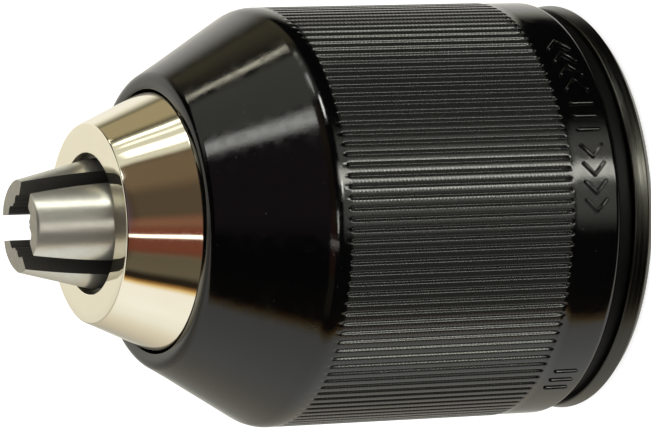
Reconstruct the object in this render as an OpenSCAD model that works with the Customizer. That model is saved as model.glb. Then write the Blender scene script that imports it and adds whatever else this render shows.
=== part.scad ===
// Keyless drill chuck, 13 mm capacity, single sleeve, with a 1/2-20 UNF spindle thread.
// The chuck stands on its rear ring: +Z is the spindle axis and points towards the jaws,
// and the origin is the centre of the rear face.
// Sections of the stack, from the back: rear ring and hub, jaw clearance space, body flange,
// thrust bearing, split nut in its groove, front barrel, nosepiece.

/* [Grip sleeve] */
// Diameter of the grip sleeve over its ribs
sleeve_d = 43; // [43:0.1:43.4]
// Number of grip ribs around the sleeve
rib_count = 124; // [90:2:140]
// Depth of the grooves between the ribs
rib_depth = 0.3; // [0.2:0.05:0.4]
// Half-angle of the cone at the front of the sleeve, in degrees
sleeve_cone_angle = 31.2; // [30.8:0.1:31.6]

/* [Nose and rear ring] */
// Height of the nose face above the rear face
nose_z = 53.8; // [53.7:0.1:53.9]
// Diameter of the round opening in the nose face
nose_opening_d = 14.3; // [14.3:0.05:14.5]
// Outer diameter of the rear ring
rear_ring_d = 42.14; // [41:0.1:42.6]

/* [Jaws] */
// Diameter of each jaw rod
jaw_d = 8; // [7.9:0.05:8]
// Slope of the jaw rods to the spindle axis, in degrees
jaw_angle = 15; // [15:0.1:15.1]
// How far the jaw tips stand out of the nose at rest
jaw_reach = 7.4; // [6.5:0.1:8]
// Distance from the spindle axis to the apex that the two grip faces would meet at
grip_apex = 1.5; // [1.4:0.05:1.6]
// Pitch of the rack cut in each jaw, which is the jaw's travel for one turn of the nut
jaw_pitch = 2.5; // [2.4:0.1:2.6]

/* [Spindle thread] */
// Minor diameter of the spindle thread, modelled as a plain hole
thread_minor_d = 11.5; // [11.3:0.05:11.6]
// Depth of the spindle thread
thread_depth = 16; // [14:0.5:16]

/* [Thrust bearing] */
// Number of balls
ball_count = 24; // [12:1:28]
// Ball diameter
ball_d = 1.56; // [1.5:0.02:1.58]

/* [Hidden] */
$fn = 96;
eps = 0.01;

// Azimuth of each jaw about +Z.
jaw_azimuth = [272, 32, 152];

// The rod axes slope in at jaw_angle and meet the spindle axis at meet_z.
meet_z = 63.7;
jaw_slope = tan(jaw_angle);
jaw_r = jaw_d / 2;
bore_r = jaw_r + 0.03;
// The bores run along the rods' axes between these distances behind meet_z.
bore_span = [6, 61];
jaw_tip_z = nose_z + jaw_reach;
tip_back = (meet_z - jaw_tip_z) / cos(jaw_angle);
jaw_len = 36.75;
tip_chamfer = 0.15;
// Length of rod beyond the tip, which the tip's flat end then cuts away.
rod_spare = 4;
// Distance from the spindle axis to the outermost line of the three rods, at height z.
function rod_outer(z) = jaw_slope * (meet_z - z) + jaw_r / cos(jaw_angle);

// Grip faces: their half-angle about the jaw's own direction, and how far they run out.
grip_angle = 60;
grip_reach = 30;
// The nose flat between the grip faces, at this distance from the spindle axis. It has a rounded
// scoop on each side, between the two distances from its middle, and a fine notch in the middle.
grip_nose = 2.6;
scoop_span = [0.35, 1.65];
scoop_depth = 0.38;
notch_half = 0.12;
notch_depth = 0.15;

// Rack cut in the outer side of each jaw.
rack_depth = 0.9;
rack_first = 0.9;
rack_last = 26.5;
rack_floor = 0.7;
rack_flank = 0.55;

// Hub, flange and barrel of the body.
hub_r = 10.8;
flange_r = 18;
flange_z = [20, 24.3];
race_seat_r = 15.5;
race_seat_top = 28.8;
barrel_r = 13.1;
barrel_z = [35.8, 45.6];
spigot_r = 9.8;
spigot_top = nose_z - 1;
core_clear = 1.54;
through_bore_r = 6.6;
screw_hole_r = 3.4;
bore_floor_z = 20;
edge = 0.4;

// Nosepiece: a short cylinder under the sleeve's lip, then the visible cone.
nose_base_r = 13.25;
nose_face_r = 10.14;
nose_cone_z = 46.76;
nose_edge = 0.2;

// Rear ring and the washer between it and the sleeve.
rear_ring_t = 2.37;
rear_ring_r = rear_ring_d / 2;
rear_chamfer = 0.8;
rear_front_r = rear_ring_r - 0.21;
collar_r = 12.3;
collar_top = 5;
washer_r = [17, 20.2];
washer_top = 4;

// Thrust bearing between the body flange and the nut.
ratchet_z = [flange_z[1], 25.5];
race_outer_r = 17.9;
ratchet_root_r = 17.35;
ratchet_teeth = 60;
ball_pitch_r = 16.7;
ball_z = 26.3;
cage_r = [15.6, 17.8];
cage_t = 0.9;
front_race_z = [27.1, 28.6];
race_bore_r = race_seat_r + 0.05;
spring_t = 0.4;
spring_rise = 0.2;
spring_inset = 0.1;
pocket_clear = 0.06;
// Share of a ratchet tooth's pitch that its long slope takes.
tooth_slope = 0.9;

// Split nut and the band that holds its halves.
nut_z = [29.2, 35.6];
nut_shoulder_r = 18;
nut_shoulder_top = 30.4;
nut_r = 16.6;
band_top = 35.4;
nut_thread_clear = 0.12;
nut_thread_depth = 0.8;
// Each thread ring, along the axis: where the first starts, its flanks and its floor.
nut_ring_start = 0.3;
nut_ring_flank = 0.3;
nut_ring_floor = 0.6;
notch_count = 4;
notch_angle = 24;
notch_bottom = 33.2;

// Leaf spring of the lock, and the steel ring that drives the nut band from the sleeve.
pawl_t = 0.4;
pawl_z = [25.7, 30.3];
pawl_arc = 300;
pawl_tab_angle = 8;
pawl_cut_spare = 5;
drive_r = [18.9, 19.6];
drive_z = [24.6, 36];
lug_angle = 12;
lug_offset = 5;
lug_z = [33.4, 35.8];
lug_inner_r = 17.2;
lug_root = 0.2;

// Grip sleeve.
sleeve_r = sleeve_d / 2;
band_r = sleeve_r - 0.06;
sleeve_z = [4.05, 47];
rib_z = [9.77, 34.5];
// Shares of a rib's pitch where its crest ends, its valley starts and its valley ends.
rib_share = [0.4, 0.6, 0.8];
rib_root = 0.4;
sleeve_bore_r = drive_r[1];
shoulder_r = sleeve_r - 0.1;
cone_z = 36.75;
shoulder_round = 3;
lip_r = 14.2;
lip_bore_r = 13.45;
lip_round = 1.2;
inner_cone_z = 36.2;
seal_r = 15.7;
seal_z = [41.8, 43.6];
felt_clear = [0.15, 0.1];
clip_r = [17.3, 20.2];
clip_z = [18.5, 19.7];
clip_gap = 25;
// Raised marks on the smooth band: two runs of chevrons that point apart, with ticks between them.
mark_z = 6.95;
mark_h = 2.6;
mark_top = sleeve_r + 0.1;
mark_root = 0.6;
mark_stroke = 0.5;
chevron_x = [-0.7, 0.5];
chevron_bar = 0.6;
// Each chevron's azimuth, and 1 or -1 for the way it points.
chevrons = [[270, 1], [275, 1], [280, 1], [285, 1], [305, -1], [310, -1], [315, -1], [320, -1]];
tick_angles = [291, 295, 299, 210, 214, 218];

// The frame of one jaw rod: local +Z runs forwards along the rod, and local +X faces outwards.
module at_rod(i) {
    rotate([0, 0, jaw_azimuth[i]]) translate([0, 0, meet_z]) rotate([0, -jaw_angle, 0]) children();
}

// The three inclined holes that the jaws slide in.
module jaw_bores() {
    for (i = [0 : 2]) at_rod(i)
        translate([0, 0, -bore_span[1]]) cylinder(r = bore_r, h = bore_span[1] - bore_span[0]);
}

// A flat ring between two heights.
module ring(inner_r, outer_r, z) {
    rotate_extrude()
        translate([inner_r, z[0]]) square([outer_r - inner_r, z[1] - z[0]]);
}

// A part of a flat ring, centred on azimuth at.
module arc_ring(inner_r, outer_r, z, at, angle) {
    rotate([0, 0, at - angle / 2]) rotate_extrude(angle = angle)
        translate([inner_r, z[0]]) square([outer_r - inner_r, z[1] - z[0]]);
}

// Steel body: hub, flange, bearing seat, cone core inside the nut, barrel and nose spigot.
module chuck_body() {
    color([0.45, 0.45, 0.47]) difference() {
        rotate_extrude() polygon([
            [0, 0], [hub_r - edge, 0], [hub_r, edge], [hub_r, flange_z[0]],
            [flange_r, flange_z[0]], [flange_r, flange_z[1]],
            [race_seat_r, flange_z[1]], [race_seat_r, race_seat_top],
            [rod_outer(race_seat_top) - core_clear, race_seat_top],
            [rod_outer(barrel_z[0]) - core_clear, barrel_z[0]],
            [barrel_r, barrel_z[0]], [barrel_r, barrel_z[1]],
            [spigot_r, barrel_z[1]], [spigot_r, spigot_top - edge],
            [spigot_r - edge, spigot_top], [0, spigot_top],
        ]);
        translate([0, 0, -1]) cylinder(d = thread_minor_d, h = thread_depth + 1);
        cylinder(r = screw_hole_r, h = nose_z);
        translate([0, 0, bore_floor_z]) cylinder(r = through_bore_r, h = nose_z);
        jaw_bores();
    }
}

// Turned nose cap, pressed on the body's spigot.
module nosepiece() {
    slope = (nose_base_r - nose_face_r) / (nose_z - nose_cone_z);
    color([0.85, 0.8, 0.7]) rotate_extrude() polygon([
        [spigot_r, barrel_z[1]], [nose_base_r, barrel_z[1]], [nose_base_r, nose_cone_z],
        [nose_face_r + slope * nose_edge, nose_z - nose_edge],
        [nose_face_r - nose_edge, nose_z],
        [nose_opening_d / 2, nose_z], [nose_opening_d / 2, spigot_top],
        [spigot_r, spigot_top],
    ]);
}

// Metal ring pressed on the hub, which closes the back of the chuck.
module rear_ring() {
    color([0.25, 0.24, 0.22]) rotate_extrude() polygon([
        [hub_r, edge], [hub_r + edge, 0], [rear_ring_r - rear_chamfer, 0],
        [rear_ring_r, rear_chamfer], [rear_front_r, rear_ring_t],
        [collar_r, rear_ring_t], [collar_r, collar_top], [hub_r, collar_top],
    ]);
}

// Black plastic slip washer in the groove between the rear ring and the sleeve.
module sleeve_washer() {
    color([0.05, 0.05, 0.05]) ring(washer_r[0], washer_r[1], [rear_ring_t, washer_top]);
}

// Felt ring on the barrel that keeps drilling dust out of the nut.
module dust_ring() {
    color([0.5, 0.48, 0.42]) ring(barrel_r, seal_r - felt_clear[0],
        [seal_z[0] + felt_clear[1], seal_z[1] - felt_clear[1]]);
}

// Hardened rear race with the lock's ratchet teeth round its rim.
module ratchet_race() {
    step = 360 / ratchet_teeth;
    teeth = [
        for (i = [0 : ratchet_teeth - 1]) each [
            race_outer_r * [cos(i * step), sin(i * step)],
            ratchet_root_r * [cos((i + tooth_slope) * step), sin((i + tooth_slope) * step)],
        ]
    ];
    color([0.6, 0.6, 0.62]) translate([0, 0, ratchet_z[0]]) difference() {
        linear_extrude(ratchet_z[1] - ratchet_z[0]) polygon(teeth);
        translate([0, 0, -1]) cylinder(r = race_seat_r, h = ratchet_z[1] - ratchet_z[0] + 2);
    }
}

// Brass cage with one pocket for each ball.
module ball_cage() {
    color([0.78, 0.6, 0.25]) difference() {
        ring(cage_r[0], cage_r[1], [ball_z - cage_t / 2, ball_z + cage_t / 2]);
        for (i = [0 : ball_count - 1]) rotate([0, 0, i * 360 / ball_count])
            translate([ball_pitch_r, 0, ball_z - cage_t])
                cylinder(d = ball_d + pocket_clear, h = 2 * cage_t, $fn = 32);
    }
}

// The balls of the thrust bearing.
module bearing_balls() {
    color([0.8, 0.8, 0.82])
        for (i = [0 : ball_count - 1]) rotate([0, 0, i * 360 / ball_count])
            translate([ball_pitch_r, 0, ball_z]) sphere(d = ball_d, $fn = 24);
}

// Front race, which turns with the nut.
module front_race() {
    color([0.6, 0.6, 0.62]) ring(race_bore_r, race_outer_r, front_race_z);
}

// Conical spring washer that keeps the bearing stack from rattling.
module spring_washer() {
    inner = race_bore_r + spring_inset;
    outer = race_outer_r - spring_inset;
    bottom = front_race_z[1];
    color([0.5, 0.52, 0.55]) rotate_extrude() polygon([
        [inner, bottom], [outer, bottom + spring_rise],
        [outer, bottom + spring_rise + spring_t], [inner, bottom + spring_t],
    ]);
}

// One half of the nut. Its cone runs just outside the jaw racks and carries the thread's rings.
module nut_half(at) {
    rings = floor((nut_z[1] - nut_z[0]) / jaw_pitch);
    floor_start = nut_ring_flank;
    floor_end = nut_ring_flank + nut_ring_floor;
    ring_end = floor_end + nut_ring_flank;
    function cone_at(z, depth) = [rod_outer(z) + nut_thread_clear + depth, z];
    thread = [
        for (k = [0 : rings]) let (z = nut_z[0] + nut_ring_start + k * jaw_pitch)
            if (z + ring_end < nut_z[1]) each [
                cone_at(z, 0), cone_at(z + floor_start, nut_thread_depth),
                cone_at(z + floor_end, nut_thread_depth), cone_at(z + ring_end, 0),
            ]
    ];
    rotate([0, 0, at]) rotate_extrude(angle = 180) polygon(concat(
        [cone_at(nut_z[0], 0)], thread, [
            cone_at(nut_z[1], 0), [nut_r, nut_z[1]], [nut_r, nut_shoulder_top],
            [nut_shoulder_r, nut_shoulder_top], [nut_shoulder_r, nut_z[0]],
        ]
    ));
}

module nut_half_a() {
    color([0.5, 0.5, 0.52]) nut_half(0);
}

module nut_half_b() {
    color([0.55, 0.55, 0.57]) nut_half(180);
}

// Steel band pressed over the two nut halves, with notches for the drive lugs.
module nut_band() {
    color([0.4, 0.42, 0.45]) difference() {
        ring(nut_r, nut_shoulder_r, [nut_shoulder_top, band_top]);
        for (i = [0 : notch_count - 1])
            arc_ring(nut_r - 1, nut_shoulder_r + 1, [notch_bottom, band_top + 1],
                i * 360 / notch_count, notch_angle);
    }
}

// Leaf spring clasped round the nut's shoulder, whose tab drops beside the ratchet teeth.
module pawl_spring() {
    cut_angle = (pawl_arc - pawl_tab_angle) / 2 + pawl_cut_spare;
    cut_at = (pawl_tab_angle + cut_angle) / 2;
    color([0.62, 0.64, 0.68]) difference() {
        arc_ring(nut_shoulder_r, nut_shoulder_r + pawl_t, [ratchet_z[0] + 0.2, pawl_z[1]], 90, pawl_arc);
        for (side = [-1, 1])
            arc_ring(nut_shoulder_r - 1, nut_shoulder_r + 1, [ratchet_z[0], pawl_z[0]],
                90 + side * cut_at, cut_angle);
    }
}

// Steel ring moulded into the sleeve, whose lugs turn the nut band.
module drive_ring() {
    color([0.42, 0.43, 0.45]) {
        ring(drive_r[0], drive_r[1], drive_z);
        for (i = [0 : notch_count - 1])
            arc_ring(lug_inner_r, drive_r[0] + lug_root, lug_z, i * 360 / notch_count + lug_offset, lug_angle);
    }
}

// Snap ring in the sleeve's bore, which holds the sleeve against the body flange.
module sleeve_clip() {
    color([0.3, 0.3, 0.33]) arc_ring(clip_r[0], clip_r[1], clip_z, 180, 360 - clip_gap);
}

// A raised mark drawn in its own flat outline, standing out of the sleeve's smooth band.
module raised_mark(at, outline) {
    rotate([0, 0, at]) translate([band_r - mark_root, 0, mark_z]) rotate([90, 0, 90])
        linear_extrude(mark_top - band_r + mark_root) polygon(outline);
}

// Plastic sleeve: smooth marked band, ribbed grip, shoulder, cone and lip round the nosepiece.
module grip_sleeve() {
    lip_start_z = sleeve_z[1] - lip_round;
    groove_step = 360 / rib_count;
    half_h = mark_h / 2;
    tip = chevron_x[0];
    back = chevron_x[1];
    chevron = [
        [back, half_h], [back - chevron_bar, half_h], [tip, 0], [back - chevron_bar, -half_h],
        [back, -half_h], [tip + chevron_bar, 0],
    ];
    half_w = mark_stroke / 2;
    tick = [[half_w, half_h], [-half_w, half_h], [-half_w, -half_h], [half_w, -half_h]];
    // Fine ribs: each is a tooth with a flat crest and a flat valley.
    function rib_point(r, a) = r * [cos(a), sin(a)];
    ribs = [
        for (i = [0 : rib_count - 1]) let (a = i * groove_step) each [
            rib_point(sleeve_r, a), rib_point(sleeve_r, a + groove_step * rib_share[0]),
            rib_point(sleeve_r - rib_depth, a + groove_step * rib_share[1]),
            rib_point(sleeve_r - rib_depth, a + groove_step * rib_share[2]),
        ]
    ];
    shoulder = [
        for (t = [0 : 0.25 : 1]) let (a = t * sleeve_cone_angle)
            [shoulder_r - shoulder_round * (1 - cos(a)),
                cone_z - shoulder_round * (sin(sleeve_cone_angle) - sin(a))]
    ];
    lip = [
        for (t = [0 : 0.25 : 1]) let (a = sleeve_cone_angle + t * (90 - sleeve_cone_angle))
            [lip_r + lip_round * cos(a), lip_start_z + lip_round * sin(a)]
    ];
    inside = [
        [lip_bore_r, sleeve_z[1]], [lip_bore_r, seal_z[1]], [seal_r, seal_z[1]], [seal_r, seal_z[0]],
        [sleeve_bore_r, inner_cone_z], [sleeve_bore_r, clip_z[1]], [clip_r[1], clip_z[1]],
        [clip_r[1], clip_z[0]], [sleeve_bore_r, clip_z[0]], [sleeve_bore_r, sleeve_z[0]],
    ];
    color([0.04, 0.04, 0.04]) {
        rotate_extrude() polygon(concat(
            [[band_r - edge, sleeve_z[0]], [band_r, sleeve_z[0] + edge], [band_r, rib_z[0]],
                [sleeve_r - rib_depth, rib_z[0]], [sleeve_r - rib_depth, rib_z[1]], [shoulder_r, rib_z[1]]],
            shoulder, lip, inside
        ));
        difference() {
            translate([0, 0, rib_z[0]]) linear_extrude(rib_z[1] - rib_z[0]) polygon(ribs);
            cylinder(r = sleeve_r - rib_depth - rib_root, h = nose_z);
        }
        for (c = chevrons) raised_mark(c[0], [for (p = chevron) [p[0] * c[1], p[1]]]);
        for (a = tick_angles) raised_mark(a, tick);
    }
}

// One jaw: a rod with a rack on its outer side, a chamfered tip, and a scooped nose between the
// two grip faces.
module jaw(i) {
    nose_half = (grip_nose - grip_apex) * tan(grip_angle);
    side = [
        [grip_apex + grip_reach * cos(grip_angle), grip_reach * sin(grip_angle)],
        [grip_nose, nose_half],
        for (t = [0 : 0.125 : 1])
            [grip_nose + scoop_depth * sin(180 * t),
                scoop_span[1] - t * (scoop_span[1] - scoop_span[0])],
        [grip_nose, notch_half],
    ];
    other_side = [for (k = [len(side) - 1 : -1 : 0]) [side[k][0], -side[k][1]]];
    wedge = concat(side, [[grip_nose + notch_depth, 0]], other_side);
    tip_r = rod_outer(jaw_tip_z) - tip_chamfer;
    rack_pitches = floor((rack_last - rack_first) / jaw_pitch);
    color([0.62, 0.61, 0.58]) difference() {
        intersection() {
            at_rod(i) translate([0, 0, -tip_back - jaw_len]) cylinder(r = jaw_r, h = jaw_len + rod_spare);
            rotate([0, 0, jaw_azimuth[i]]) linear_extrude(jaw_tip_z) polygon(wedge);
            cylinder(r1 = tip_r + jaw_tip_z, r2 = tip_r, h = jaw_tip_z);
        }
        at_rod(i) for (k = [0 : rack_pitches]) {
            z = -tip_back - jaw_len + rack_first + k * jaw_pitch;
            translate([0, jaw_d, z]) rotate([90, 0, 0]) linear_extrude(2 * jaw_d) polygon([
                [jaw_r + eps, -eps], [jaw_r - rack_depth, rack_flank],
                [jaw_r - rack_depth, rack_flank + rack_floor], [jaw_r + eps, 2 * rack_flank + rack_floor],
            ]);
        }
    }
}

module jaw_1() { jaw(0); }
module jaw_2() { jaw(1); }
module jaw_3() { jaw(2); }

chuck_body();
nosepiece();
rear_ring();
sleeve_washer();
dust_ring();
ratchet_race();
ball_cage();
bearing_balls();
front_race();
spring_washer();
nut_half_a();
nut_half_b();
nut_band();
pawl_spring();
drive_ring();
sleeve_clip();
grip_sleeve();
jaw_1();
jaw_2();
jaw_3();
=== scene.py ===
"""The looks of a keyless drill chuck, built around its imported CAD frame.

Metres, in the CAD's own frame: +Z runs along the spindle towards the jaws, z = 0 is the rear face,
and -Y faces the camera. The photograph's upward direction is +X, so the camera is rolled by about 90 degrees.
"""

import math

import bmesh
import bpy
from mathutils import Matrix, Vector


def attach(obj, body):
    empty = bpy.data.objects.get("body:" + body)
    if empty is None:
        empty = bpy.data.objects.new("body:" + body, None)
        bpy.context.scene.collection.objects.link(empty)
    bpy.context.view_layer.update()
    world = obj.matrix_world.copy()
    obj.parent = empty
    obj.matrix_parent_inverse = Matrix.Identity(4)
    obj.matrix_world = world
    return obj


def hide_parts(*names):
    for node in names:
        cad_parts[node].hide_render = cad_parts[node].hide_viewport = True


MM = 0.001
TAU = 2 * math.pi

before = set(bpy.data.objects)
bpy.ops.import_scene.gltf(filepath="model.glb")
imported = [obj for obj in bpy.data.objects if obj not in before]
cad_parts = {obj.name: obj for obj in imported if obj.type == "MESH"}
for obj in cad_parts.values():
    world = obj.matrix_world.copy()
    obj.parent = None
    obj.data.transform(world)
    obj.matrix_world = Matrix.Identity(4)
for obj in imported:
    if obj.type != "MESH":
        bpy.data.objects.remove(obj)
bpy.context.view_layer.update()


# ---------------------------------------------------------------- mesh helpers

def mesh_object(name, verts, faces, smooth=True):
    """A new mesh object from vertices in millimetres."""
    mesh = bpy.data.meshes.new(name)
    mesh.from_pydata([Vector(v) * MM for v in verts], [], faces)
    mesh.validate()
    mesh.update()
    for polygon in mesh.polygons:
        polygon.use_smooth = smooth
    obj = bpy.data.objects.new(name, mesh)
    bpy.context.scene.collection.objects.link(obj)
    return obj


def arc(r_centre, z_centre, radius, start, end, steps=6):
    """Points [r, z] on a round, with angles in degrees from the +r direction towards +z."""
    points = []
    for i in range(steps + 1):
        a = math.radians(start + (end - start) * i / steps)
        points.append((r_centre + radius * math.cos(a), z_centre + radius * math.sin(a)))
    return points


def revolve(name, profile, columns=256):
    """A closed ring from a closed [r, z] outline."""
    verts, faces = [], []
    rows = len(profile)
    for r, z in profile:
        for c in range(columns):
            a = TAU * c / columns
            verts.append((r * math.cos(a), r * math.sin(a), z))
    for row in range(rows):
        nxt = (row + 1) % rows
        for c in range(columns):
            d = (c + 1) % columns
            faces.append((row * columns + c, row * columns + d, nxt * columns + d, nxt * columns + c))
    obj = mesh_object(name, verts, faces)
    outward(obj)
    return obj


def outward(obj):
    """Makes every face of a closed mesh point outwards."""
    bm = bmesh.new()
    bm.from_mesh(obj.data)
    bmesh.ops.recalc_face_normals(bm, faces=bm.faces)
    bm.to_mesh(obj.data)
    bm.free()


def apply_modifiers(obj):
    """Replaces the object's mesh by what its modifiers make of it."""
    graph = bpy.context.evaluated_depsgraph_get()
    mesh = bpy.data.meshes.new_from_object(obj.evaluated_get(graph))
    obj.modifiers.clear()
    obj.data = mesh


def join(name, objects):
    """One object made of several meshes, in the CAD's own frame. The separate objects are deleted."""
    bm = bmesh.new()
    for o in objects:
        start = len(bm.verts)
        bm.from_mesh(o.data)
        bm.verts.ensure_lookup_table()
        for v in bm.verts[start:]:
            v.co = o.matrix_world @ v.co
    mesh = bpy.data.meshes.new(name)
    bm.to_mesh(mesh)
    bm.free()
    for o in objects:
        bpy.data.objects.remove(o)
    for polygon in mesh.polygons:
        polygon.use_smooth = True
    obj = bpy.data.objects.new(name, mesh)
    bpy.context.scene.collection.objects.link(obj)
    return obj


def prism(name, outline, z_low, z_high):
    """An upright prism from an outline of [x, y] points in millimetres."""
    n = len(outline)
    verts = [(x, y, z_low) for x, y in outline] + [(x, y, z_high) for x, y in outline]
    faces = [tuple(range(n - 1, -1, -1)), tuple(range(n, 2 * n))]
    faces += [(i, (i + 1) % n, n + (i + 1) % n, n + i) for i in range(n)]
    obj = mesh_object(name, verts, faces, smooth=False)
    outward(obj)
    return obj


def cone(name, z_low, r_low, z_high, r_high, sides=192):
    """A closed cone about the Z axis, on a cylinder that reaches far below the chuck."""
    far_below = -50
    verts, faces = [], []
    for z, r in ((far_below, r_low), (z_low, r_low), (z_high, r_high)):
        verts += [(r * math.cos(TAU * k / sides), r * math.sin(TAU * k / sides), z) for k in range(sides)]
    for row in range(2):
        for k in range(sides):
            d = (k + 1) % sides
            faces.append((row * sides + k, row * sides + d, (row + 1) * sides + d, (row + 1) * sides + k))
    faces += [tuple(range(sides - 1, -1, -1)), tuple(range(2 * sides, 3 * sides))]
    obj = mesh_object(name, verts, faces)
    outward(obj)
    return obj


def boolean(obj, other, operation):
    """Cuts obj with other, then deletes other."""
    modifier = obj.modifiers.new("cut", "BOOLEAN")
    modifier.operation = operation
    modifier.solver = "EXACT"
    modifier.object = other
    apply_modifiers(obj)
    bpy.data.objects.remove(other)


# ---------------------------------------------------------------- node helpers

def node_material(name):
    """A new node material: its tree, its Principled shader and a function that adds nodes."""
    material = bpy.data.materials.new(name)
    material.use_nodes = True
    tree = material.node_tree
    shader = next(n for n in tree.nodes if n.type == "BSDF_PRINCIPLED")
    return material, tree, shader


def add(tree, kind, values=None, **settings):
    """A node with settings, and values on its inputs: each is a constant or another node's output."""
    node = tree.nodes.new(kind)
    for key, value in settings.items():
        setattr(node, key, value)
    for key, value in (values or {}).items():
        if isinstance(value, bpy.types.NodeSocket):
            tree.links.new(value, node.inputs[key])
        else:
            node.inputs[key].default_value = value
    return node


def calc(tree, operation, *values):
    """The output of one Math node."""
    return add(tree, "ShaderNodeMath", dict(enumerate(values)), operation=operation).outputs[0]


def smooth_step(tree, value, low, high, out_low=0.0, out_high=1.0):
    """value taken smoothly from out_low at low to out_high at high."""
    return add(tree, "ShaderNodeMapRange", {0: value, 1: low, 2: high, 3: out_low, 4: out_high},
               interpolation_type="SMOOTHSTEP").outputs[0]


def place(tree):
    """The object coordinates of a point, in metres, and their x, y and z."""
    coords = add(tree, "ShaderNodeTexCoord").outputs["Object"]
    xyz = add(tree, "ShaderNodeSeparateXYZ", {0: coords}).outputs
    return coords, xyz


def noise(tree, coords, scale, detail=3.0, roughness=0.55, stretch=(1, 1, 1)):
    """A noise value from 0 to 1. stretch squeezes or draws out the coordinates first."""
    mapped = add(tree, "ShaderNodeMapping", {"Vector": coords, "Scale": stretch}).outputs[0]
    return add(tree, "ShaderNodeTexNoise", {"Vector": mapped, "Scale": scale, "Detail": detail,
                                            "Roughness": roughness}).outputs["Fac"]


def cylinder_coords(tree, xyz, girth, turns):
    """Coordinates that run round the Z axis: the angle times girth, and the radius and z times turns."""
    angle = calc(tree, "ARCTAN2", xyz[1], xyz[0])
    radius = calc(tree, "SQRT", calc(tree, "ADD", calc(tree, "MULTIPLY", xyz[0], xyz[0]),
                                     calc(tree, "MULTIPLY", xyz[1], xyz[1])))
    return add(tree, "ShaderNodeCombineXYZ", {0: calc(tree, "MULTIPLY", angle, girth),
                                              1: calc(tree, "MULTIPLY", radius, turns),
                                              2: calc(tree, "MULTIPLY", xyz[2], turns)}).outputs[0]


def bump(tree, shader, height, distance, strength=1.0):
    """Drives the shader's normal from a height."""
    node = add(tree, "ShaderNodeBump", {"Height": height, "Distance": distance, "Strength": strength})
    tree.links.new(node.outputs[0], shader.inputs["Normal"])


def mix(tree, factor, first, second):
    """A colour between two, by factor. Each is an [r, g, b] constant or another node's output."""
    node = add(tree, "ShaderNodeMix", {0: factor}, data_type="RGBA")
    for socket, colour in ((node.inputs[6], first), (node.inputs[7], second)):
        if isinstance(colour, bpy.types.NodeSocket):
            tree.links.new(colour, socket)
        else:
            socket.default_value = (*colour, 1)
    return node.outputs[2]


# ---------------------------------------------------------------- materials

RIB_LOW, RIB_HIGH = 9.77 * MM, 34.5 * MM
RIB_FADE = 0.4 * MM
SERRATION_PITCH = 0.42 * MM
SMOOTH_BLACK = (0.0016, 0.0015, 0.0015)
RIB_BLACK = (0.015, 0.015, 0.013)
DUST = (0.05, 0.05, 0.045)


def sleeve_plastic():
    """Glossy black moulded plastic, satin and finely serrated along the ribs."""
    material, tree, shader = node_material("sleeve_plastic")
    coords, xyz = place(tree)
    in_ribs = calc(tree, "MULTIPLY", smooth_step(tree, xyz[2], RIB_LOW, RIB_LOW + RIB_FADE),
                   smooth_step(tree, xyz[2], RIB_HIGH, RIB_HIGH - RIB_FADE))
    blotch = noise(tree, coords, 900, 4)
    skin = noise(tree, coords, 4200, 2)
    smooth_rough = smooth_step(tree, blotch, 0.3, 0.75, 0.07, 0.17)
    rough = calc(tree, "ADD", smooth_rough, calc(tree, "MULTIPLY", in_ribs, 0.06))
    tree.links.new(rough, shader.inputs["Roughness"])
    dust = smooth_step(tree, noise(tree, coords, 2600, 2), 0.73, 0.78)
    colour = mix(tree, in_ribs, SMOOTH_BLACK, RIB_BLACK)
    tree.links.new(mix(tree, dust, colour, DUST), shader.inputs["Base Color"])
    serration = calc(tree, "SINE", calc(tree, "MULTIPLY", xyz[2], TAU / SERRATION_PITCH))
    height = calc(tree, "ADD", calc(tree, "MULTIPLY", skin, 0.25),
                  calc(tree, "MULTIPLY", calc(tree, "MULTIPLY", serration, in_ribs), 0.4))
    bump(tree, shader, height, 0.012 * MM)
    shader.inputs["IOR"].default_value = 1.5
    return material


def turned_metal(name, base, tint, rough, anisotropy, marks, depth, metallic=1.0):
    """Turned metal: fine rings round the Z axis, marks of them to a metre, and a soft blotchy tint."""
    material, tree, shader = node_material(name)
    coords, xyz = place(tree)
    rings = add(tree, "ShaderNodeTexNoise", {"Vector": cylinder_coords(tree, xyz, 0.35, marks),
                                             "Scale": 1.0, "Detail": 4.0, "Roughness": 0.7}).outputs["Fac"]
    cloud = noise(tree, coords, 260, 3)
    tree.links.new(mix(tree, cloud, base, tint), shader.inputs["Base Color"])
    tree.links.new(smooth_step(tree, rings, 0.3, 0.7, rough * 0.75, rough * 1.35),
                   shader.inputs["Roughness"])
    bump(tree, shader, rings, depth)
    shader.inputs["Metallic"].default_value = metallic
    shader.inputs["Anisotropic"].default_value = anisotropy
    tangent = add(tree, "ShaderNodeTangent", direction_type="RADIAL", axis="Z").outputs[0]
    tree.links.new(tangent, shader.inputs["Tangent"])
    return material


def plain_metal(name, base, tint, rough, grain, depth, stretch=(1, 1, 1), metallic=1.0):
    """Satin metal with a mottled tint and a fine grain."""
    material, tree, shader = node_material(name)
    coords, _ = place(tree)
    mottle = noise(tree, coords, 1500, 5, 0.7)
    fine = noise(tree, coords, grain, 3, 0.6, stretch)
    tree.links.new(mix(tree, mottle, base, tint), shader.inputs["Base Color"])
    tree.links.new(smooth_step(tree, mottle, 0.2, 0.8, rough * 0.88, rough * 1.12),
                   shader.inputs["Roughness"])
    bump(tree, shader, fine, depth)
    shader.inputs["Metallic"].default_value = metallic
    return material


def dull(name, base, tint, rough, grain, depth):
    """A dull non-metal, such as felt or a plastic washer."""
    material, tree, shader = node_material(name)
    coords, _ = place(tree)
    fine = noise(tree, coords, grain, 4, 0.65)
    tree.links.new(mix(tree, fine, base, tint), shader.inputs["Base Color"])
    shader.inputs["Roughness"].default_value = rough
    shader.inputs["Specular IOR Level"].default_value = 0.12
    bump(tree, shader, fine, depth)
    return material


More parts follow.
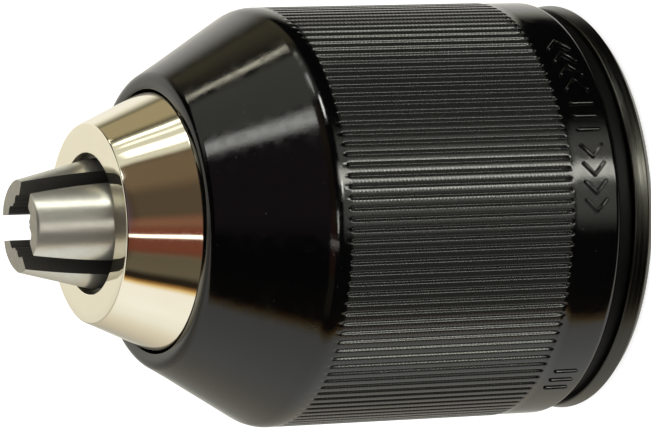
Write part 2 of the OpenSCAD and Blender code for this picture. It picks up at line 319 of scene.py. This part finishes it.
NOSE = turned_metal("nose_metal", (0.91, 0.85, 0.71), (0.86, 0.80, 0.65), 0.06, 0.0, 9000, 0.0007 * MM)
REAR = turned_metal("rear_metal", (0.060, 0.059, 0.052), (0.050, 0.049, 0.043), 0.27, 0.2, 7000, 0.0012 * MM)
RACE = turned_metal("race_steel", (0.55, 0.55, 0.56), (0.45, 0.45, 0.46), 0.18, 0.3, 6000, 0.002 * MM)
BODY = turned_metal("body_steel", (0.11, 0.105, 0.09), (0.08, 0.077, 0.068), 0.38, 0.3, 5000, 0.004 * MM, 0.4)
NUT = plain_metal("nut_steel", (0.22, 0.22, 0.23), (0.14, 0.14, 0.15), 0.4, 3000, 0.01 * MM)
SPRING = plain_metal("spring_steel", (0.32, 0.34, 0.40), (0.22, 0.24, 0.30), 0.25, 3000, 0.004 * MM)
BALL = plain_metal("ball_steel", (0.75, 0.75, 0.76), (0.70, 0.70, 0.71), 0.08, 3000, 0.001 * MM)
BRASS = plain_metal("cage_brass", (0.72, 0.52, 0.20), (0.60, 0.42, 0.15), 0.3, 3000, 0.006 * MM)
DRIVE = plain_metal("drive_steel", (0.30, 0.30, 0.31), (0.2, 0.2, 0.21), 0.4, 2500, 0.01 * MM)
JAW_SIDE = plain_metal("jaw_side", (0.68, 0.67, 0.60), (0.58, 0.57, 0.50), 0.34, 4200, 0.010 * MM,
                       (1, 1, 0.35), 0.85)
JAW_END = plain_metal("jaw_end", (0.44, 0.42, 0.37), (0.34, 0.32, 0.28), 0.45, 3000, 0.02 * MM)
# Painted shade: the grip faces between the jaws get a dark, half-metallic copy of the jaw steel, standing in
# for the shade they lie in.
JAW_GRIP_SHADE = plain_metal("jaw_grip_painted_shade", (0.075, 0.072, 0.062), (0.05, 0.048, 0.042), 0.36, 2600, 0.015 * MM,
                       metallic=0.2)
WASHER = dull("black_washer", (0.0015, 0.0015, 0.0015), (0.004, 0.004, 0.004), 0.5, 2500, 0.01 * MM)
FELT = dull("felt", (0.45, 0.43, 0.38), (0.30, 0.28, 0.24), 0.95, 5000, 0.05 * MM)
PLASTIC = sleeve_plastic()

NODE_MATERIALS = {
    "chuck_body": BODY, "sleeve_washer": WASHER, "dust_ring": FELT, "ratchet_race": RACE,
    "front_race": RACE, "ball_cage": BRASS, "bearing_balls": BALL, "spring_washer": SPRING,
    "pawl_spring": SPRING, "sleeve_clip": SPRING, "nut_half_a": NUT, "nut_half_b": NUT,
    "nut_band": NUT, "drive_ring": DRIVE,
}


def paint(obj, material):
    """Puts a material in each of the object's slots, in place of what is there."""
    if obj.data.materials:
        for i in range(len(obj.data.materials)):
            obj.data.materials[i] = material
    else:
        obj.data.materials.append(material)


for node, material in NODE_MATERIALS.items():
    paint(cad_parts[node], material)


# ---------------------------------------------------------------- grip sleeve

SLEEVE_R = 21.5
BAND_R = 21.44
CONE_ANGLE = 31.2
CONE_Z = 36.75
CONE_BASE_R = 21.03
CONE_STEP = 1.9
SHOULDER_ROUND = 3.2
SHOULDER_Z = 35.08
RIB_COUNT = 124
# The ends of the ribs and their length between: [z, share of the rib's depth].
RIB_ROWS = ((9.6, 0.0), (9.75, 0.35), (9.95, 0.75), (10.25, 0.95), (10.7, 1), (14, 1), (20, 1),
            (26, 1), (33.3, 1), (33.9, 0.95), (34.2, 0.75), (34.4, 0.35), (34.55, 0.0))
# One rib from valley to valley: [share of the pitch, radius below the crest].
RIB_SHAPE = ((-0.5, 0.29), (-0.43, 0.26), (-0.36, 0.14), (-0.29, 0.04), (-0.24, 0.009), (-0.2, 0.001),
             (0, 0), (0.2, 0.001), (0.24, 0.009), (0.29, 0.04), (0.36, 0.14), (0.43, 0.26))


def sleeve_outline():
    """The sleeve's closed outline as [r, z, share], where share is how much of the ribs' shape it takes."""
    rows = []

    def put(points, share=0.0):
        rows.extend((r, z, share) for r, z in points)

    put(arc(20.85, 4.45, 0.4, -90, -35, 3))
    put(arc(20.64, 4.85, 0.8, -30, 0, 5))
    put([(BAND_R, 6.0), (BAND_R, 8.6), (BAND_R, 9.4)])
    for z, share in RIB_ROWS:
        put([(SLEEVE_R, z)], share)
    put(arc(SLEEVE_R - SHOULDER_ROUND, SHOULDER_Z, SHOULDER_ROUND, 0, CONE_ANGLE, 9))
    for step in range(1, 5):
        rise = step * CONE_STEP
        put([(CONE_BASE_R - rise * math.tan(math.radians(CONE_ANGLE)), CONE_Z + rise)])
    put(arc(14.2, 45.8, 1.2, CONE_ANGLE, 90, 9))
    put(arc(13.6, 46.85, 0.15, 90, 180, 3))
    put([(13.45, 43.6), (15.7, 43.6), (15.7, 41.8), (19.6, 36.2), (19.6, 19.7), (20.2, 19.7),
         (20.2, 18.5), (19.6, 18.5), (19.6, 4.2), (19.75, 4.05)])
    return rows


def sleeve_shell():
    """The sleeve's skin, with columns that follow each rib's shape."""
    rows = sleeve_outline()
    columns = [(TAU * (k + share) / RIB_COUNT, depth)
               for k in range(RIB_COUNT) for share, depth in RIB_SHAPE]
    n = len(columns)
    verts, faces = [], []
    for r, z, share in rows:
        for angle, depth in columns:
            rr = r - depth * share
            verts.append((rr * math.cos(angle), rr * math.sin(angle), z))
    for row in range(len(rows)):
        nxt = (row + 1) % len(rows)
        for c in range(n):
            d = (c + 1) % n
            faces.append((row * n + c, row * n + d, nxt * n + d, nxt * n + c))
    obj = mesh_object("sleeve_shell", verts, faces)
    outward(obj)
    return obj


def stroke(at, start, end, half_width=0.24, height=0.26):
    """A raised round-ended bar on the smooth band. start and end are [arc length, z] from its centre."""
    a, b = Vector(start), Vector(end)
    along = (b - a).normalized()
    across = Vector((-along.y, along.x))
    rings, sides, least = 4, 10, 0.02
    path = [(a, -math.cos(TAU / 4 * i / rings), math.sin(TAU / 4 * i / rings)) for i in range(rings + 1)]
    path += [(b, math.sin(TAU / 4 * i / rings), math.cos(TAU / 4 * i / rings)) for i in range(rings + 1)]
    verts, faces = [], []
    for centre, ahead, share in path:
        size = max(share, least)
        for k in range(sides):
            t = TAU * k / sides
            flat = centre + along * ahead * half_width + across * math.cos(t) * size * half_width
            r = BAND_R + math.sin(t) * size * height
            angle = math.radians(at) + flat.x / BAND_R
            verts.append((r * math.cos(angle), r * math.sin(angle), MARK_Z + flat.y))
    for i in range(len(path) - 1):
        for k in range(sides):
            d = (k + 1) % sides
            faces.append((i * sides + k, i * sides + d, (i + 1) * sides + d, (i + 1) * sides + k))
    last = (len(path) - 1) * sides
    faces += [tuple(range(sides)), tuple(range(last + sides - 1, last - 1, -1))]
    obj = mesh_object("stroke", verts, faces)
    outward(obj)
    return obj


MARK_Z = 6.95
MARK_HALF = 1.15
CHEVRON_TIP = -0.65
CHEVRON_BACK = 0.55
# The azimuth of each chevron, and 1 or -1 for the way it points.
CHEVRONS = {270: 1, 275: 1, 280: 1, 285: 1, 305: -1, 310: -1, 315: -1, 320: -1}
TICKS = (291, 295, 299, 210, 214, 218)


def raised_marks():
    """Generic turning marks on the band: chevrons that point apart, with ticks between them."""
    pieces = []
    for at, way in CHEVRONS.items():
        tip = (CHEVRON_TIP * way, 0)
        back = CHEVRON_BACK * way
        pieces += [stroke(at, (back, MARK_HALF), tip), stroke(at, (back, -MARK_HALF), tip)]
    for at in TICKS:
        pieces.append(stroke(at, (0, MARK_HALF), (0, -MARK_HALF)))
    return pieces


sleeve = join("grip_sleeve_moulding", [sleeve_shell(), *raised_marks()])
sleeve.data.set_sharp_from_angle(angle=math.radians(48))
paint(sleeve, PLASTIC)
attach(sleeve, "sleeve")
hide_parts("grip_sleeve")


# ---------------------------------------------------------------- nosepiece and rear ring

NOSE_BASE_R = 13.25
NOSE_BASE_Z = 45.6
NOSE_FACE_R = 10.14
NOSE_CONE_Z = 46.76
NOSE_Z = 53.8
SPIGOT_R = 9.8
SPIGOT_Z = 52.8


def nosepiece():
    """The turned nose cap: a cone with a fine edge round, and a sharp-edged opening for the jaws."""
    half_angle = math.degrees(math.atan((NOSE_BASE_R - NOSE_FACE_R) / (NOSE_Z - NOSE_CONE_Z)))
    outline = [(SPIGOT_R, NOSE_BASE_Z), (NOSE_BASE_R - 0.25, NOSE_BASE_Z), (NOSE_BASE_R, NOSE_BASE_Z + 0.25)]
    outline += arc(NOSE_BASE_R - 1, 46.6, 1.0, 0, half_angle, 4)
    outline += [(12.5, 48.457), (11.6, 50.495), (10.8, 52.306)]
    outline += arc(9.98, NOSE_Z - 0.25, 0.25, half_angle, 90, 6)
    outline += [(9.0, NOSE_Z), (8.0, NOSE_Z), (7.24, NOSE_Z), (7.18, NOSE_Z - 0.04), (7.2, NOSE_Z - 0.2)]
    outline += [(7.5, SPIGOT_Z), (SPIGOT_R, SPIGOT_Z)]
    return revolve("nose_cap", outline)


nose = nosepiece()
nose.data.set_sharp_from_angle(angle=math.radians(30))
paint(nose, NOSE)
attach(nose, "body")
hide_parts("nosepiece")


def rear_ring():
    """The rear ring, with a soft rear chamfer, a fine front edge and a collar on the hub."""
    outline = [(10.8, 0.4), (11.2, 0.0), (15.0, 0.0), (18.0, 0.0)]
    outline += arc(20.1, 0.3, 0.3, -90, -45, 3)
    outline += arc(20.77, 0.95, 0.3, -45, 0, 4)
    outline += arc(20.66, 2.17, 0.2, 0, 90, 4)
    outline += [(18.0, 2.37), (12.3, 2.37), (12.3, 4.8), (12.1, 5.0), (10.8, 5.0)]
    return revolve("rear_cover_ring", outline, 256)


ring = rear_ring()
ring.data.set_sharp_from_angle(angle=math.radians(30))
paint(ring, REAR)
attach(ring, "body")
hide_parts("rear_ring")


# ---------------------------------------------------------------- jaws

JAW_AZIMUTH = (272, 32, 152)
MEET_Z = 63.7
JAW_ANGLE = 15
JAW_TIP_Z = 61.2
JAW_R = 4.0
JAW_LEN = 36.75
TIP_CHAMFER = 0.15
GRIP_APEX = 1.5
GRIP_ANGLE = 60
GRIP_REACH = 30
GRIP_NOSE = 2.6
SCOOP_SPAN = (0.35, 1.65)
SCOOP_DEPTH = 0.38
NOTCH_DEPTH = 0.15
NOTCH_HALF = 0.12
TIP_CONE_Z = 30
RACK_FIRST = 0.9
RACK_PITCH = 2.5
RACK_DEPTH = 0.9
RACK_FLANK = 0.55
RACK_FLOOR = 0.7
RACK_GROOVES = 11


def wedge_outline():
    """The outline that cuts a jaw's grip faces and its nose flat, with a scoop on each side and a notch."""
    a = math.radians(GRIP_ANGLE)
    side = [(GRIP_APEX + GRIP_REACH * math.cos(a), GRIP_REACH * math.sin(a)),
            (GRIP_NOSE, (GRIP_NOSE - GRIP_APEX) * math.tan(a))]
    steps = 12
    inner, outer = SCOOP_SPAN
    for k in range(steps + 1):
        share = k / steps
        side.append((GRIP_NOSE + SCOOP_DEPTH * math.sin(math.pi * k / steps),
                     outer - (outer - inner) * share))
    side.append((GRIP_NOSE, NOTCH_HALF))
    return side + [(GRIP_NOSE + NOTCH_DEPTH, 0)] + [(x, -y) for x, y in reversed(side)]


def rod_matrix():
    """The frame of a jaw rod that leans in from azimuth 0, in millimetres: +Z runs forwards along it."""
    return Matrix.Translation((0, 0, MEET_Z)) @ Matrix.Rotation(math.radians(-JAW_ANGLE), 4, "Y")


def in_rod_frame(obj):
    """Moves a mesh made in the rod's frame into the CAD's frame."""
    m = rod_matrix()
    m.translation *= MM
    obj.data.transform(m)
    return obj


def master_jaw():
    """One jaw at azimuth 0: a rod cut by the V of its grip faces, with a rack on its outer side."""
    tip_back = (MEET_Z - JAW_TIP_Z) / math.cos(math.radians(JAW_ANGLE))
    rear = -tip_back - JAW_LEN
    sides = 144
    circle = [(JAW_R * math.cos(TAU * k / sides), JAW_R * math.sin(TAU * k / sides)) for k in range(sides)]
    rod = in_rod_frame(prism("jaw", circle, rear, -tip_back + 4))
    boolean(rod, prism("wedge", wedge_outline(), 0, JAW_TIP_Z), "INTERSECT")
    slope = math.radians(JAW_ANGLE)
    tip_r = math.tan(slope) * (MEET_Z - JAW_TIP_Z) + JAW_R / math.cos(slope) - TIP_CHAMFER
    wide_r = tip_r + JAW_TIP_Z - TIP_CONE_Z
    boolean(rod, cone("tip_cone", TIP_CONE_Z, wide_r, JAW_TIP_Z + 1, tip_r - 1), "INTERSECT")
    spare, run_out, half_span = 0.2, 0.12, 5
    for k in range(RACK_GROOVES):
        z = rear + RACK_FIRST + k * RACK_PITCH
        groove = [(JAW_R + spare, z - run_out), (JAW_R - RACK_DEPTH, z + RACK_FLANK),
                  (JAW_R - RACK_DEPTH, z + RACK_FLANK + RACK_FLOOR),
                  (JAW_R + spare, z + 2 * RACK_FLANK + RACK_FLOOR + run_out)]
        verts = [(x, y, zz) for y in (-half_span, half_span) for x, zz in groove]
        faces = [(0, 1, 2, 3), (7, 6, 5, 4)]
        faces += [(i, (i + 1) % 4, (i + 1) % 4 + 4, i + 4) for i in range(4)]
        cutter = mesh_object("groove", verts, faces, smooth=False)
        outward(cutter)
        boolean(rod, in_rod_frame(cutter), "DIFFERENCE")
    return rod


def face_kind(polygon):
    """Which of the jaw's materials a face takes: 0 for its sides, 1 for its tip, 2 for its grip faces.

    Only the grip faces are upright, and only their front length takes the dark grip material, which is
    painted shade for the shadowed middle between the jaws.
    """
    normal, centre = polygon.normal, polygon.center
    if normal.z > 0.9 and centre.z > (JAW_TIP_Z - 1) * MM:
        return 1
    upright = abs(normal.z) < 0.02 and normal.x < 0.9
    inside_front = centre.x < 8 * MM and centre.z > 44 * MM
    return 2 if upright and inside_front else 0


def make_jaws():
    """The three jaws, each a turned copy of one finished jaw."""
    master = master_jaw()
    bevel = master.modifiers.new("edges", "BEVEL")
    bevel.width = 0.07 * MM
    bevel.segments = 2
    bevel.limit_method = "ANGLE"
    bevel.angle_limit = math.radians(28)
    bevel.use_clamp_overlap = True
    apply_modifiers(master)
    for polygon in master.data.polygons:
        polygon.use_smooth = True
    for material in (JAW_SIDE, JAW_END, JAW_GRIP_SHADE):
        master.data.materials.append(material)
    for polygon in master.data.polygons:
        polygon.material_index = face_kind(polygon)
    master.data.set_sharp_from_angle(angle=math.radians(25))
    for i, azimuth in enumerate(JAW_AZIMUTH):
        mesh = master.data.copy()
        mesh.transform(Matrix.Rotation(math.radians(azimuth), 4, "Z"))
        jaw = bpy.data.objects.new(f"ground_jaw_{i + 1}", mesh)
        bpy.context.scene.collection.objects.link(jaw)
        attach(jaw, "jaw_" + "abc"[i])
        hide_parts(f"jaw_{i + 1}")
    bpy.data.objects.remove(master)


make_jaws()


# ---------------------------------------------------------------- spindle thread

def spindle_thread():
    """The female thread's crests inside the hub's plain hole, as one helical skin."""
    pitch, crest, root, low, high = 1.27, 5.25, 5.74, 0.35, 15.9
    columns, steps = 96, 8
    flat, flank = 1.25, 3.0
    rows = int((high - low) / pitch * steps)
    verts, faces = [], []
    for row in range(rows + 1):
        z = low + (high - low) * row / rows
        for c in range(columns):
            angle = TAU * c / columns
            phase = (z / pitch - c / columns) % 1.0
            share = min(1.0, max(0.0, flat - abs(phase - 0.5) * flank))
            if row in (0, rows):
                share = 0
            r = root - (root - crest) * share
            verts.append((r * math.cos(angle), r * math.sin(angle), z))
    for row in range(rows):
        this, above = row * columns, (row + 1) * columns
        for c in range(columns):
            d = (c + 1) % columns
            faces.append((this + d, this + c, above + c, above + d))
    return mesh_object("spindle_thread", verts, faces)


thread = spindle_thread()
thread.data.set_sharp_from_angle(angle=math.radians(40))
paint(thread, BODY)
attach(thread, "body")


# ---------------------------------------------------------------- stage, light and camera

def pale_floor():
    """A wide pale floor that stays clean under the chuck."""
    far = 4000
    corners = [(-far, -far, 0), (far, -far, 0), (far, far, 0), (-far, far, 0)]
    floor = mesh_object("floor", corners, [(0, 1, 2, 3)], smooth=False)
    material, tree, shader = node_material("pale_floor")
    coords, _ = place(tree)
    grain = noise(tree, coords, 60, 2)
    tree.links.new(mix(tree, grain, (0.80, 0.80, 0.80), (0.84, 0.84, 0.84)),
                   shader.inputs["Base Color"])
    shader.inputs["Roughness"].default_value = 0.9
    shader.inputs["Specular IOR Level"].default_value = 0.0
    shader.inputs["Emission Color"].default_value = (1, 1, 1, 1)
    shader.inputs["Emission Strength"].default_value = 0.78
    floor.data.materials.append(material)
    floor.visible_glossy = False


pale_floor()


# The studio that the glossy surfaces reflect: [azimuth in degrees, colour]. Azimuth 0 is towards -Y,
# and 90 is towards +X. Paper-white walls stand behind and on the -X side, and a dark room is in front.
WALLS = (
    (-180, (0.88, 0.86, 0.76)), (-170, (0.62, 0.61, 0.54)), (-158, (0.46, 0.45, 0.40)),
    (-142, (0.60, 0.55, 0.46)), (-125, (0.76, 0.72, 0.62)), (-109, (0.93, 0.93, 0.88)),
    (-95, (1.00, 1.00, 0.97)), (-71, (0.98, 0.97, 0.93)), (-67.5, (0.80, 0.60, 0.28)),
    (-65, (0.35, 0.18, 0.05)), (-62, (0.02, 0.015, 0.01)), (-35, (0.003, 0.003, 0.003)),
    (130, (0.003, 0.003, 0.003)), (137, (0.62, 0.60, 0.50)), (143, (0.95, 0.93, 0.84)),
    (150, (1.00, 0.98, 0.92)), (165, (0.93, 0.91, 0.82)), (180, (0.88, 0.86, 0.76)),
)
# Soft boxes, lamps and coloured things in the dark room: [azimuth, elevation, half-width, half-height,
# softness of the sides, colour], in degrees. In the reference view the sleeve's cone mirrors elevations
# from about 12 to 37, the nose's cone 5 to 23, the sleeve's shoulder -20 to 20, and upright walls below -25.
LAMPS = (
    (82, 30, 16, 30, 3, (0.70, 0.70, 0.60)),
    (77, 10, 4.0, 7, 1.0, (1.5, 1.5, 1.4)),
    (88.5, 8, 1.2, 6, 0.5, (0.9, 0.9, 0.8)),
    (95, 8, 1.2, 5, 0.7, (2.8, 2.8, 2.4)),
    (104, 18, 1.6, 6, 1.0, (7.0, 6.6, 5.2)),
    (116, 2, 14, 9, 5, (0.36, 0.31, 0.19)),
    (118, 19, 14, 8, 5, (0.16, 0.14, 0.10)),
    (58, 33, 4.5, 7, 3.5, (6.0, 6.0, 5.6)),
    (58.5, -2, 6, 3, 1.5, (16, 16, 15)),
    (74, 9, 6, 2.5, 1.5, (3.5, 3.5, 3.3)),
    (20, -32, 4.5, 22, 2.5, (8.5, 8.5, 7.7)),
    (14, -18, 3.5, 2.5, 1.5, (14, 14, 13)),
    (17, -30, 26, 13, 8, (0.95, 0.95, 0.82)),
    (-15.5, 16, 1.5, 15, 0.7, (2.4, 2.3, 2.2)),
    (-4, 4, 5, 2.5, 1.5, (8, 8, 7.5)),
    (-22, 20, 11, 10, 5, (0.16, 0.05, 0.03)),
    (-5, 20, 8, 10, 5, (0.12, 0.035, 0.02)),
    (-44, 18, 11, 10, 4, (0.11, 0.095, 0.065)),
    (29, 18, 36, 10, 5, (0.09, 0.065, 0.042)),
    (51, 18, 16, 10, 8, (0.07, 0.05, 0.03)),
    (20, 38, 30, 9, 8, (0.11, 0.08, 0.10)),
)


def scaled_colour(tree, factor, colour):
    """A colour times a factor, as a vector."""
    return add(tree, "ShaderNodeVectorMath", {0: colour, 3: factor}, operation="SCALE").outputs[0]


def turn_share(tree, azimuth):
    """An azimuth in degrees as a share of the whole turn, from 0 to 1."""
    return calc(tree, "MULTIPLY", calc(tree, "ADD", azimuth, 180.0), 1 / 360)


def studio_world():
    """Even white light for the floor and dull surfaces, and the studio's walls and lamps in reflections."""
    world = bpy.data.worlds.new("studio")
    bpy.context.scene.world = world
    world.use_nodes = True
    world.cycles.sampling_method = "NONE"
    tree = world.node_tree
    tree.nodes.clear()
    ray = add(tree, "ShaderNodeTexCoord").outputs["Generated"]
    ray = add(tree, "ShaderNodeVectorMath", {0: ray}, operation="NORMALIZE").outputs[0]
    xyz = add(tree, "ShaderNodeSeparateXYZ", {0: ray}).outputs
    azimuth = calc(tree, "MULTIPLY", calc(tree, "ARCTAN2", xyz[0], calc(tree, "MULTIPLY", xyz[1], -1.0)),
                   360 / TAU)
    elevation = calc(tree, "MULTIPLY", calc(tree, "ARCSINE", xyz[2]), 360 / TAU)

    ramp = add(tree, "ShaderNodeValToRGB", {0: turn_share(tree, azimuth)})
    stops = ramp.color_ramp.elements
    for i, (angle, colour) in enumerate(WALLS):
        share = (angle + 180) / 360
        stop = stops[i] if i < 2 else stops.new(share)
        stop.position = share
        stop.color = (*colour, 1)
    total = ramp.outputs[0]
    for az, el, half_w, half_h, soft, colour in LAMPS:
        off_az = calc(tree, "ABSOLUTE", calc(tree, "SUBTRACT", azimuth, az))
        off_el = calc(tree, "ABSOLUTE", calc(tree, "SUBTRACT", elevation, el))
        inside = calc(tree, "MULTIPLY", smooth_step(tree, off_az, half_w - soft, half_w + soft, 1.0, 0.0),
                      smooth_step(tree, off_el, half_h * 0.7, half_h * 1.3, 1.0, 0.0))
        total = add(tree, "ShaderNodeVectorMath", {0: total, 1: scaled_colour(tree, inside, colour)},
                    operation="ADD").outputs[0]

    plain = add(tree, "ShaderNodeBackground", {"Color": (1, 1, 1, 1), "Strength": 0.65})
    mirrored = add(tree, "ShaderNodeBackground", {"Color": total, "Strength": 1.0})
    glossy = add(tree, "ShaderNodeLightPath").outputs["Is Glossy Ray"]
    both = add(tree, "ShaderNodeMixShader", {0: glossy, 1: plain.outputs[0], 2: mirrored.outputs[0]})
    output = add(tree, "ShaderNodeOutputWorld", {"Surface": both.outputs[0]})
    output.is_active_output = True


studio_world()


CAMERA_AT = (0.1, -522.5, 272.0)
LOOKS = (0.0, 0.90557, -0.42419)
CAMERA_UP = (0.99933, -0.01547, -0.03303)
LENS = 309.9


def make_camera():
    """The camera of the reference view: 25 degrees above the chuck's side, rolled so that +X is up."""
    data = bpy.data.cameras.new("camera")
    data.sensor_width = 36
    data.lens = LENS
    data.clip_start = 0.01
    data.clip_end = 20
    camera = bpy.data.objects.new("camera", data)
    forward = Vector(LOOKS).normalized()
    up = Vector(CAMERA_UP)
    right = forward.cross(up).normalized()
    up = right.cross(forward)
    turn = Matrix((right, up, -forward)).transposed().to_4x4()
    camera.matrix_world = Matrix.Translation(Vector(CAMERA_AT) * MM) @ turn
    bpy.context.scene.collection.objects.link(camera)
    bpy.context.scene.camera = camera


make_camera()
bpy.context.scene.view_settings.view_transform = "Standard"
